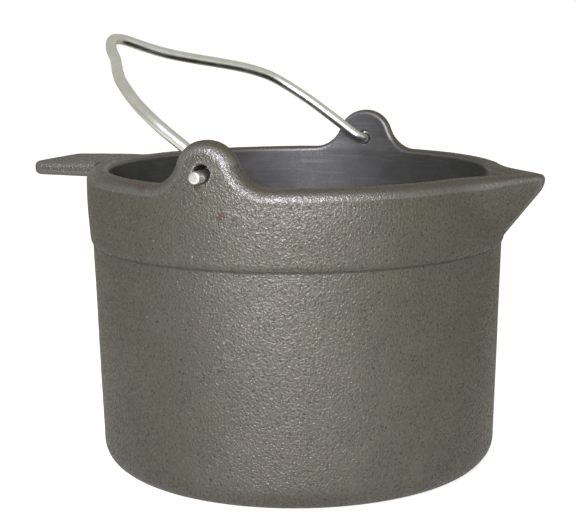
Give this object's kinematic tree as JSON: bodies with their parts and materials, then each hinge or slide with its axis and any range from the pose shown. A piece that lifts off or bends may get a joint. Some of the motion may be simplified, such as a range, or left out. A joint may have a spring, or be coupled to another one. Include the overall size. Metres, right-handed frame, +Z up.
{
  "type": "candle melting pot",
  "caption": "Small cast-iron melting pot with a V-shaped pouring spout, a flat tipping tab and a swinging wire bail hooked through upright ears.",
  "frame": {"origin": "centre of the flat base, on the surface the pot stands on", "axes": "+Z up out of the mouth, +X towards the pouring spout, the tab points to -X and the bail's hinge line runs along Y"},
  "size_m": [0.1541, 0.128, 0.1222],
  "materials": {
    "cast_iron": "raw sand-cast grey iron, dry and fine-grained",
    "zinc_wire": "bright zinc-plated drawn steel wire"
  },
  "bodies": {
    "pot": {"pot_casting": "cast_iron"},
    "bail": {"bail_wire": "zinc_wire"}
  },
  "joints": [
    {"name": "bail_swing", "type": "hinge", "parent": "pot", "child": "bail", "pos_m": [0, 0, 0.0884], "axis": [0, 1, 0], "range_deg": [-30, 147]}
  ]
}
